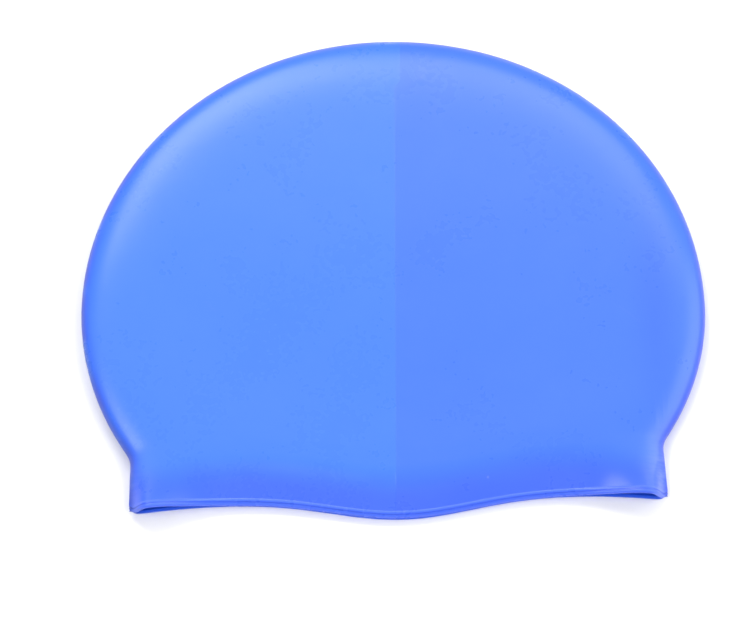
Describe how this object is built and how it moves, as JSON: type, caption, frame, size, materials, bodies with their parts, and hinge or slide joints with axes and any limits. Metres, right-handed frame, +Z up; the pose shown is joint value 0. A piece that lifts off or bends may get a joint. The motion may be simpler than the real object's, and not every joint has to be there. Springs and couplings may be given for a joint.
{
  "type": "swim cap",
  "caption": "Moulded silicone swim cap lying flat on its side, two soft layers folded at the crown and flanks, with a beaded rim that gapes at both corners of the mouth.",
  "frame": {"origin": "centre of the overall box, on the surface that the cap lies on", "axes": "+Z up, +Y from the mouth to the crown, +X to the right as seen with the mouth in front"},
  "size_m": [0.225, 0.185, 0.0114],
  "materials": {
    "silicone": "satin"
  },
  "bodies": {
    "root": {"cap": "silicone"}
  },
  "joints": []
}
